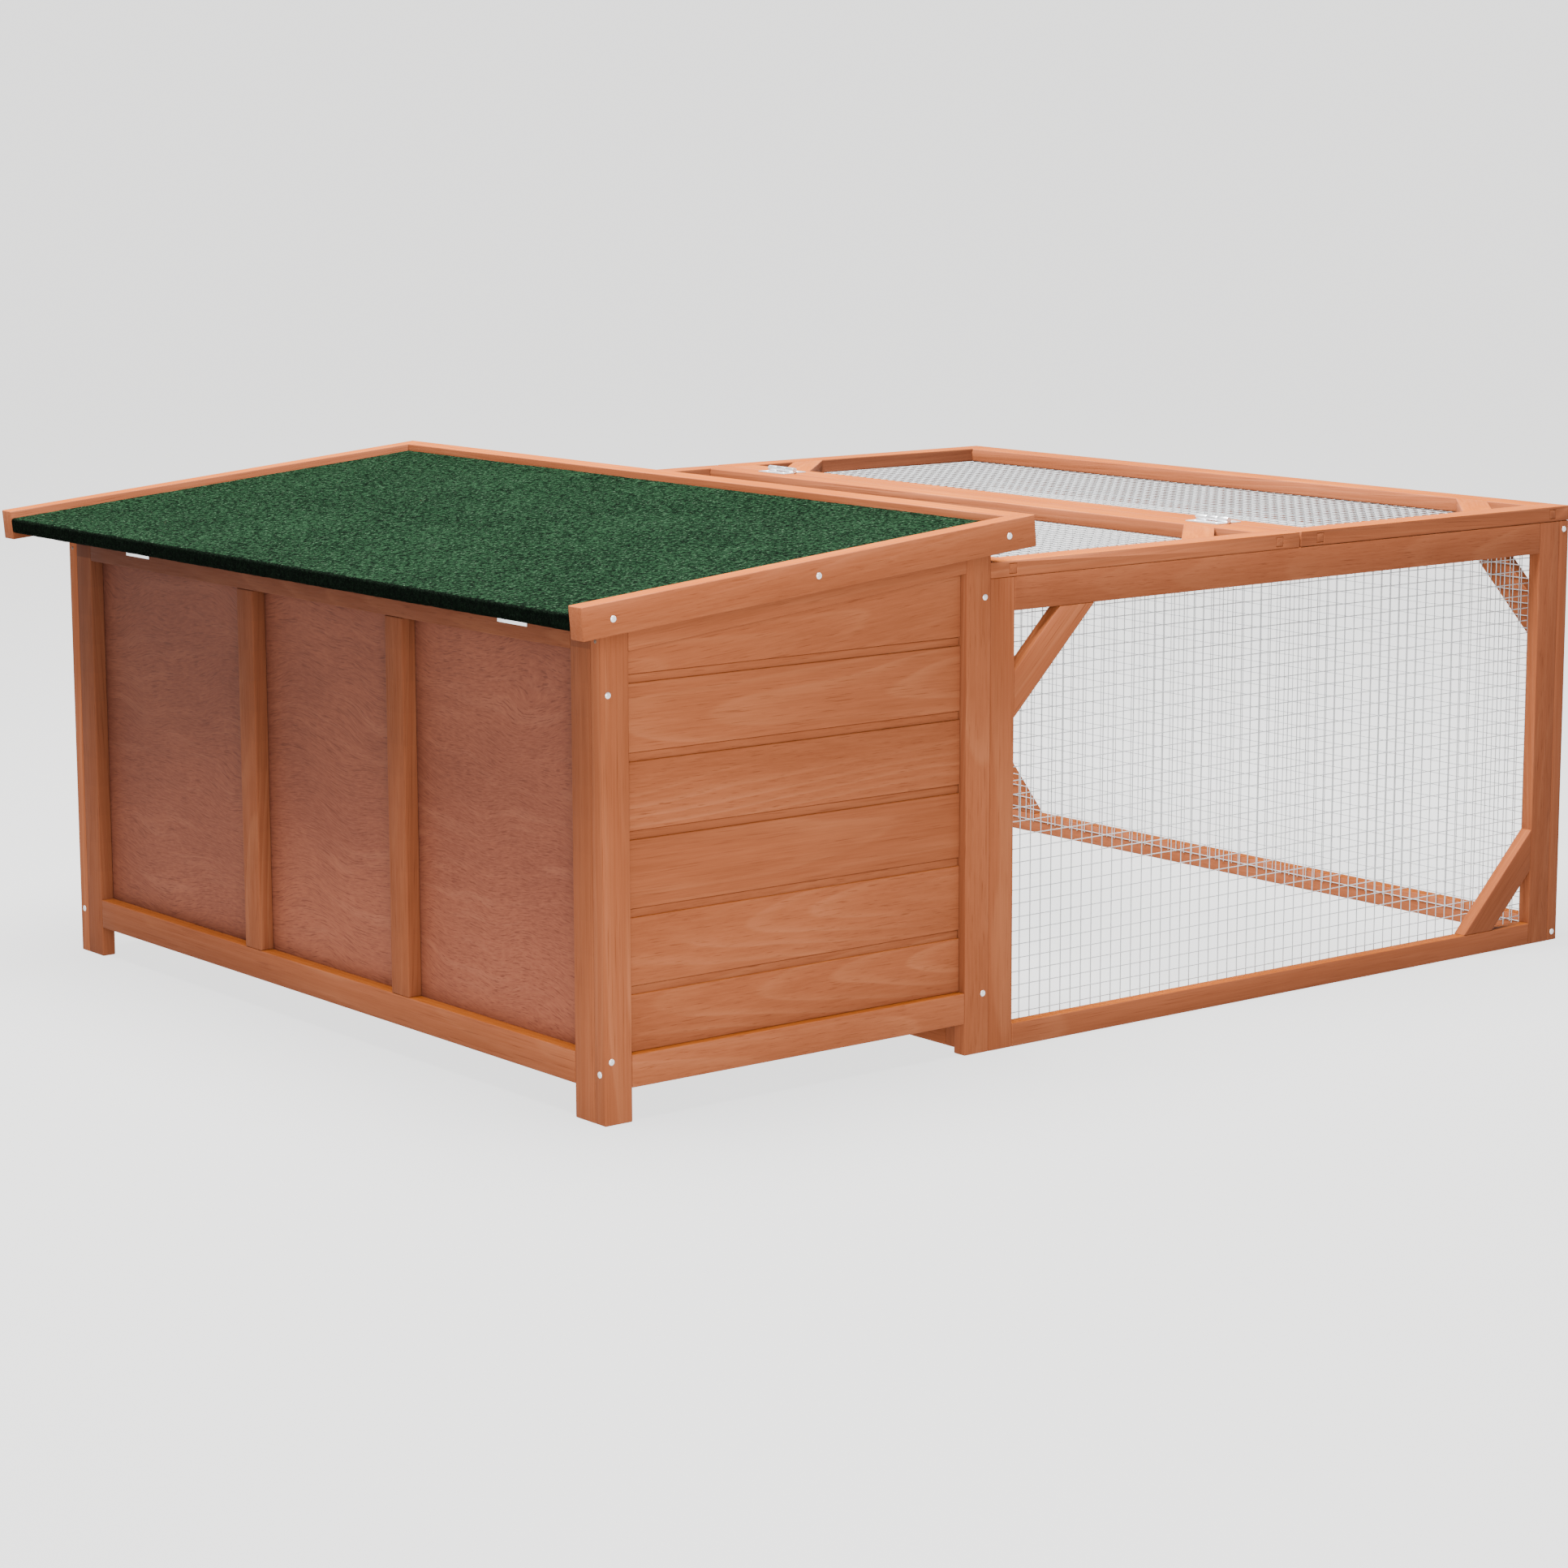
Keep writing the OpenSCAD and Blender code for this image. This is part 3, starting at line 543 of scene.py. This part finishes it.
def writePaintedShade(part, node):
    # painted shade: the wood's colour is darkened under the eave and towards the far end wall, and on the
    # near faces of the run
    look = woodLook
    attribute = part.data.attributes.new("shelter", "FLOAT", "FACE")
    onEnd = node.startswith("end_wall")
    for face, item in zip(part.data.polygons, attribute.data):
        x, y, z = face.center
        across = (y / cadHigh[1] + 1) / 2
        along = min(max((x - look["runFrom"]) / (cadHigh[0] - look["runFrom"]), 0), 1)
        if onEnd:
            height = min(max((z - look["shelterFrom"]) / (look["shelterTo"] - look["shelterFrom"]), 0), 1)
            # painted shade: an extra step of it above the eave line
            nearEave = look["eaveShelter"] if z > look["eaveLine"] else 0
            item.value = look["shelterRise"] * height + look["shelterFar"] * across + nearEave
        elif face.normal.y < -0.7:
            # painted shade on the run's near faces, more along the run and on the high inner faces
            inner = look["innerShelter"] if min(y, z) > look["innerFrom"] else 0
            item.value = look["runShelter"] * along + inner


def subdivideLong(part, size):
    # cuts across a long piece, so that what changes along it can change
    pickOnly(part)
    bpy.ops.object.mode_set(mode="EDIT")
    for axis in range(3):
        values = [v[axis] for v in cornersOf(part)]
        low, high = min(values), max(values)
        count = int((high - low) / size)
        normal = [0, 0, 0]
        normal[axis] = 1
        for step in range(1, count + 1):
            place = [0, 0, 0]
            place[axis] = low + (high - low) * step / (count + 1)
            bpy.ops.mesh.select_all(action="SELECT")
            bpy.ops.mesh.bisect(plane_co=place, plane_no=normal)
    bpy.ops.object.mode_set(mode="OBJECT")


def cornersOf(part):
    return [Vector(corner) for corner in part.bound_box]


def roundArrises(part, width, steps):
    # only the outer edges of the solid, not those of a mortise
    mesh = part.data
    pickOnly(part)
    bpy.ops.object.mode_set(mode="EDIT")
    bpy.ops.mesh.select_all(action="DESELECT")
    bpy.ops.mesh.select_mode(type="EDGE")
    bpy.ops.object.mode_set(mode="OBJECT")
    solid = bmesh.new()
    solid.from_mesh(mesh)
    solid.edges.ensure_lookup_table()
    chosen = []
    for edge in solid.edges:
        closed = len(edge.link_faces) == 2
        if closed and edge.is_convex and edge.calc_face_angle() > shared["sharpFrom"]:
            chosen.append(edge.index)
    solid.free()
    for index in chosen:
        mesh.edges[index].select = True
    bpy.ops.object.mode_set(mode="EDIT")
    bpy.ops.mesh.bevel(offset=width, offset_type="OFFSET", segments=steps, affect="EDGES",
                       clamp_overlap=True)
    bpy.ops.mesh.select_all(action="SELECT")
    bpy.ops.mesh.normals_make_consistent(inside=False)
    bpy.ops.object.mode_set(mode="OBJECT")
    bpy.ops.object.shade_smooth_by_angle(angle=shared["smoothWood"])


def singular(node):
    return node[:-1] if node.endswith("s") else node


def makeWood(node, material, slot, arris):
    for index, part in enumerate(solidsOf(node)):
        along, across, through = grainFrame(part)
        if slot == "plywood" and abs(along.z) > 0.5:
            along, across = across, -along
        roundArrises(part, arris, woodLook["arrisSteps"])
        if node.startswith("end_wall"):
            subdivideLong(part, woodLook["cell"])
        writeLog(part, along, across, through)
        writePaintedShade(part, node)
        finishPiece(part, f"{singular(node)}_{index + 1}", bodyOf(node), slot, material, node)


slots = {entry["node"]: entry["material_slot"] for entry in frame["record"]["subparts"]}
firNodes = [node for node, slot in slots.items() if slot == "fir"]
plyNodes = [node for node, slot in slots.items() if slot == "plywood"]
for node in firNodes:
    makeWood(node, fir, "fir", woodLook["arris"])
print("fir laths:", len(firNodes), "nodes")
for node in plyNodes:
    makeWood(node, plywood, "plywood", woodLook["plywoodArris"])
print("plywood:", len(plyNodes), "nodes")


# roofing felt: one sheet, turned down over the board's low edge and back under it;
# its places are along the slope and square to it, from the low end wall's outer face

feltSheet = {
    "start": (-581.439 * mm, 434 * mm),
    "slope": 5,
    "high": 425 * mm,
    "low": -49 * mm,
    "top": 12.4 * mm,
    "under": -2.4 * mm,
    "turned": 22 * mm,
    "halfWidth": 480.9 * mm,
    "thickness": 2.2 * mm,
    "turnRadius": 3 * mm,
    "turnSteps": 4,
    "edgeFrom": 0.3,  # the share of the first turn that is still granular
    "cell": 3.6 * mm,
    "hair": 0.001 * mm,
    "lumpSize": 7 * mm,
    "lumpHeight": 0.7 * mm,
    "waveSize": 90 * mm,
    "waveHeight": 0.5 * mm,
}


def selectPoints(obj, chosen):
    # points are picked by their number, with nothing else left selected
    bpy.ops.object.mode_set(mode="EDIT")
    bpy.ops.mesh.select_mode(type="VERT")
    bpy.ops.mesh.select_all(action="DESELECT")
    bpy.ops.object.mode_set(mode="OBJECT")
    for index in chosen:
        obj.data.vertices[index].select = True
    bpy.ops.object.mode_set(mode="EDIT")


def displace(obj, size, height):
    texture = bpy.data.textures.new(obj.name + "_relief", "CLOUDS")
    texture.noise_scale = size
    modifier = obj.modifiers.new("relief", "DISPLACE")
    modifier.texture = texture
    modifier.texture_coords = "LOCAL"
    modifier.strength = height
    modifier.mid_level = 0.5
    applyModifier(obj, modifier)


def makeFelt():
    spec = feltSheet
    radius = spec["turnRadius"]
    arc = radius * math.pi / 2
    drop = spec["top"] - spec["under"] - 2 * radius
    firstTurn = spec["low"] + radius
    secondTurn = firstTurn - arc - drop
    length = spec["high"] - secondTurn + arc + spec["turned"] - radius
    columns = round(length / spec["cell"])
    rows = round(2 * spec["halfWidth"] / spec["cell"])
    bpy.ops.object.select_all(action="DESELECT")
    bpy.ops.mesh.primitive_grid_add(x_subdivisions=columns, y_subdivisions=rows, size=1)
    sheet = bpy.context.object
    sheet.name = "roof_felt_sheet"
    bpy.ops.object.mode_set(mode="EDIT")
    bpy.ops.mesh.select_all(action="SELECT")
    bpy.ops.transform.resize(value=(length, 2 * spec["halfWidth"], 1))
    bpy.ops.transform.translate(value=(spec["high"] - length / 2, 0, spec["top"]))
    steps = spec["turnSteps"]
    folds = []
    for turn in (firstTurn, secondTurn):
        for step in range(steps):
            folds.append(turn - arc * (step + 0.5) / steps)
    for place in folds:
        bpy.ops.mesh.select_all(action="SELECT")
        bpy.ops.mesh.bisect(plane_co=(place, 0, 0), plane_no=(1, 0, 0))
    bpy.ops.object.mode_set(mode="OBJECT")
    flat = [v.co.x for v in sheet.data.vertices]
    # the turned part is darker
    edge = sheet.data.attributes.new("edge", "FLOAT", "POINT")
    edgeLine = firstTurn - arc * spec["edgeFrom"]
    edge.data.foreach_set("value", [1.0 if x < edgeLine else 0.0 for x in flat])
    turned = 0.0
    hinge = Vector((folds[0], 0, spec["top"]))
    before = folds[0]
    each = math.radians(90) / steps
    for place in folds:
        step = before - place
        hinge = hinge + Vector((-math.cos(turned), 0, -math.sin(turned))) * step
        beyond = [i for i, x in enumerate(flat) if x < place - spec["hair"]]
        selectPoints(sheet, beyond)
        bpy.ops.transform.rotate(value=each, orient_axis="Y", center_override=hinge)
        bpy.ops.object.mode_set(mode="OBJECT")
        turned += each
        before = place
    displace(sheet, spec["waveSize"], spec["waveHeight"])
    displace(sheet, spec["lumpSize"], spec["lumpHeight"])
    solid = sheet.modifiers.new("thickness", "SOLIDIFY")
    solid.thickness = spec["thickness"]
    solid.offset = -1
    applyModifier(sheet, solid)
    sheet.rotation_euler = (0, math.radians(-spec["slope"]), 0)
    sheet.location = (spec["start"][0], 0, spec["start"][1])
    settle(sheet)
    bpy.ops.object.shade_smooth_by_angle(angle=shared["smoothFelt"])
    finishPiece(sheet, "roof_felt_sheet", "roof", "roofing_felt", felt, "roof_felt")
    print("felt:", len(sheet.data.polygons), "faces, flat length", round(length, 4))


makeFelt()


# welded mesh: two fused layers of round wires in each panel

wire = {
    "pitch": 12.7 * mm,
    "radius": 0.47 * mm,
    "sides": 8,
    "sink": 0.22 * mm,  # how far the two layers are pressed into each other
}


def wireLayer(length, count):
    # wires along X, side by side along Y, both centred on the origin
    bpy.ops.object.select_all(action="DESELECT")
    bpy.ops.mesh.primitive_cylinder_add(vertices=wire["sides"], radius=wire["radius"], depth=1,
                                        end_fill_type="NOTHING", rotation=(0, math.radians(90), 0))
    layer = bpy.context.object
    settle(layer)
    pieces = round(length / wire["pitch"])
    layer.scale = (length / pieces, 1, 1)
    settle(layer)
    along = layer.modifiers.new("along", "ARRAY")
    along.count = pieces
    along.use_relative_offset = False
    along.use_constant_offset = True
    along.constant_offset_displace = (length / pieces, 0, 0)
    along.use_merge_vertices = True
    along.merge_threshold = shared["mergeWithin"]
    applyModifier(layer, along)
    bpy.ops.object.mode_set(mode="EDIT")
    bpy.ops.mesh.select_all(action="SELECT")
    bpy.ops.mesh.fill_holes(sides=wire["sides"])
    bpy.ops.object.mode_set(mode="OBJECT")
    across = layer.modifiers.new("across", "ARRAY")
    across.count = count
    across.use_relative_offset = False
    across.use_constant_offset = True
    across.constant_offset_displace = (0, wire["pitch"], 0)
    applyModifier(layer, across)
    layer.location = (-(length - length / pieces) / 2, -(count - 1) * wire["pitch"] / 2, 0)
    settle(layer)
    return layer


def makeMesh(node, normal, inward):
    # normal is the panel's thin axis, and inward is the side that the crosswise layer lies on
    low, high = (Vector(corner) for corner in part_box(node))
    middle = (low + high) / 2
    size = high - low
    first, second = [axis for axis in range(3) if axis != normal]
    long, short = size[first], size[second]
    counts = [int(side / wire["pitch"] + 1e-6) + 1 for side in (long, short)]
    lengthwise = wireLayer(long, counts[1])
    crosswise = wireLayer(short, counts[0])
    crosswise.rotation_euler = (0, 0, math.radians(90))
    settle(crosswise)
    lengthwise.location = (0, 0, wire["sink"] / 2 - size[normal] / 4)
    crosswise.location = (0, 0, size[normal] / 4 - wire["sink"] / 2)
    settle(lengthwise)
    settle(crosswise)
    pickOnly(crosswise, lengthwise)
    bpy.ops.object.join()
    panel = bpy.context.object
    quarter = math.radians(90)
    turn = Euler(((quarter, 0, quarter), (quarter, 0, 0), (0, 0, 0))[normal])
    up = Vector((0, 0, 1))
    up.rotate(turn)
    panel.rotation_euler = turn
    settle(panel)
    if up[normal] * inward < 0:
        mirror = [1, 1, 1]
        mirror[normal] = -1
        panel.scale = mirror
        settle(panel)
        bpy.ops.object.mode_set(mode="EDIT")
        bpy.ops.mesh.select_all(action="SELECT")
        bpy.ops.mesh.flip_normals()
        bpy.ops.object.mode_set(mode="OBJECT")
    panel.location = middle
    settle(panel)
    bpy.ops.object.shade_smooth_by_angle(angle=shared["smoothWire"])
    finishPiece(panel, node + "_wires", bodyOf(node), "galvanised_mesh", wireZinc, node)


meshPanels = {
    "near_run_mesh": (1, 1),
    "far_run_mesh": (1, -1),
    "run_end_mesh": (0, -1),
    "fixed_top_mesh": (2, -1),
    "lid_mesh": (2, -1),
}
for node, (normal, inward) in meshPanels.items():
    makeMesh(node, normal, inward)
print("mesh panels:", len(meshPanels))


# screws: a domed head with a cross recess, one modelled and the rest copied

screwLook = {
    "height": 0.35,
    "recess": 0.52,
    "slot": 0.13,
    "depth": 0.16,
    "foot": 0.02,
    # the smaller size and the limits for the two heads coloured dark as painted shade
    "agedShare": 0.62,
    "agedAbove": 300 * mm,
    "agedRadius": 2.5 * mm,
    "rimWithin": 0.1 * mm,
}


def modelScrew():
    # of unit radius, standing on the plane Z = 0
    bpy.ops.object.select_all(action="DESELECT")
    bpy.ops.mesh.primitive_uv_sphere_add(segments=32, ring_count=16, radius=1)
    head = bpy.context.object
    bpy.ops.object.mode_set(mode="EDIT")
    bpy.ops.mesh.select_all(action="SELECT")
    bpy.ops.mesh.bisect(plane_co=(0, 0, screwLook["foot"]), plane_no=(0, 0, 1), clear_inner=True,
                        use_fill=True)
    bpy.ops.object.mode_set(mode="OBJECT")
    head.scale = (1, 1, screwLook["height"])
    settle(head)
    arms = []
    for turn in (0, 90):
        bpy.ops.object.select_all(action="DESELECT")
        bpy.ops.mesh.primitive_cube_add(size=1, location=(0, 0, screwLook["height"]))
        arm = bpy.context.object
        arm.scale = (2 * screwLook["recess"], 2 * screwLook["slot"], 2 * screwLook["depth"])
        arm.rotation_euler = (0, 0, math.radians(turn))
        settle(arm)
        arms.append(arm)
    for arm in arms:
        cut = head.modifiers.new("recess", "BOOLEAN")
        cut.operation = "DIFFERENCE"
        cut.solver = "EXACT"
        cut.object = arm
        applyModifier(head, cut)
        bpy.data.objects.remove(arm)
    pickOnly(head)
    bpy.ops.object.shade_smooth_by_angle(angle=shared["smoothScrew"])
    return head


def placeScrew(model, centre, axis, radius):
    pickOnly(model)
    bpy.ops.object.duplicate()
    copy = bpy.context.object
    turn = Vector((0, 0, 1)).rotation_difference(axis)
    spin = Matrix.Rotation(dice.uniform(0, math.pi), 4, "Z")
    size = Matrix.Scale(radius, 4)
    copy.matrix_world = Matrix.Translation(centre) @ turn.to_matrix().to_4x4() @ spin @ size
    settle(copy)
    return copy


def makeScrews(node, model):
    look = screwLook
    bright, shadeDarkHeads = [], []
    for part in solidsOf(node):
        base = max(part.data.polygons, key=lambda f: f.area)
        centre = base.center.copy()
        axis = -base.normal.copy()
        spokes = [v.co - centre for v in part.data.vertices]
        radius = max(spoke.length for spoke in spokes if abs(spoke.dot(axis)) < look["rimWithin"])
        bpy.data.objects.remove(part)
        # painted shade: the two under the eave are coloured dark brown, for the shade they lie in
        onEnd = node == "frame_screws" and axis.x < -0.9
        if onEnd and centre.z > look["agedAbove"] and radius > look["agedRadius"]:
            shadeDarkHeads.append(placeScrew(model, centre, axis, radius * look["agedShare"]))
        else:
            bright.append(placeScrew(model, centre, axis, radius))
    for heads, suffix, material in ((bright, "_heads", screwZinc), (shadeDarkHeads, "_aged_heads", screwShadeDark)):
        if heads:
            pickOnly(*heads)
            if len(heads) > 1:
                bpy.ops.object.join()
            whole = bpy.context.object
            finishPiece(whole, node + suffix, bodyOf(node), "screw_steel", material, node)


screwModel = modelScrew()
for node in ("frame_screws", "roof_screws", "lid_screws"):
    makeScrews(node, screwModel)
bpy.data.objects.remove(screwModel)
print("screws placed")


# hinges and bolt: the frame's own solids with their edges broken

metalLook = {
    "arris": 0.25 * mm,
    "steps": 2,
}


def makeMetal(node, material):
    parts = solidsOf(node)
    for part in parts:
        roundArrises(part, metalLook["arris"], metalLook["steps"])
    pickOnly(*parts)
    if len(parts) > 1:
        bpy.ops.object.join()
    whole = bpy.context.object
    finishPiece(whole, node + "_zinc", bodyOf(node), "galvanised_steel", material, node)


for node, slot in slots.items():
    if slot == "galvanised_steel":
        makeMetal(node, hingeZinc)
print("hinges and bolt done")


# floor and light

studio = {
    "floorRadius": 9.0,
    "floorSides": 96,
    "rim": 4.0,
    "rimSteps": 12,
    "floorColor": (0.075, 0.0747, 0.0744, 1),
    "floorGlow": 1.9,
    "glowColor": (1.0, 0.995, 0.985, 1),
    "skyStrength": 0.12,
}

softboxes = {
    "overhead": {"place": (-0.4, -0.1, 3.4), "target": (0, 0, 0.3), "size": 2.6, "power": 1500},
    "key": {"place": (-1.25, -1.8, 0.7), "target": (-0.4, -0.2, 0.2), "size": 0.9, "power": 44},
}


def addFloor():
    # a round floor whose rim curves up into a low wall
    bpy.ops.mesh.primitive_circle_add(vertices=studio["floorSides"], radius=studio["floorRadius"],
                                      fill_type="NGON")
    floor = bpy.context.object
    floor.name = "floor"
    bpy.ops.object.mode_set(mode="EDIT")
    bpy.ops.mesh.select_all(action="SELECT")
    steps = studio["rimSteps"]
    quarter = math.radians(90)
    radius = studio["floorRadius"]
    for step in range(1, steps + 1):
        angle = quarter * step / steps
        nextRadius = studio["floorRadius"] + studio["rim"] * math.sin(angle)
        rise = studio["rim"] * (math.cos(angle - quarter / steps) - math.cos(angle))
        bpy.ops.mesh.extrude_region_move(TRANSFORM_OT_translate={"value": (0, 0, rise)})
        scale = nextRadius / radius
        bpy.ops.transform.resize(value=(scale, scale, 1))
        radius = nextRadius
    bpy.ops.mesh.delete(type="ONLY_FACE")
    bpy.ops.object.mode_set(mode="OBJECT")
    bpy.ops.object.shade_smooth()
    tree = Tree("pale_floor")
    soft = tree.noise(tree.objectCoords(), 0.8, 2.0)
    darker = tuple(part * 0.985 for part in studio["floorColor"][:3]) + (1,)
    color = tree.mix(soft, studio["floorColor"], darker)
    tree.shader.inputs["Emission Color"].default_value = studio["glowColor"]
    tree.shader.inputs["Emission Strength"].default_value = studio["floorGlow"]
    floor.data.materials.append(tree.finish(color, 0.85, gloss=0.0))


def addSky():
    world = bpy.data.worlds.new("soft_sky")
    bpy.context.scene.world = world
    world.use_nodes = True
    background = world.node_tree.nodes["Background"]
    background.inputs["Color"].default_value = (1.0, 1.0, 1.0, 1)
    background.inputs["Strength"].default_value = studio["skyStrength"]


def addSoftbox(name):
    box = softboxes[name]
    bpy.ops.object.light_add(type="AREA", location=box["place"])
    lamp = bpy.context.object
    lamp.name = name
    lamp.data.shape = "DISK"
    lamp.data.size = box["size"]
    lamp.data.energy = box["power"]
    aim = Vector(box["target"]) - Vector(box["place"])
    lamp.rotation_euler = aim.to_track_quat("-Z", "Y").to_euler()


addFloor()
addSky()
for name in softboxes:
    addSoftbox(name)
print("floor and light placed")
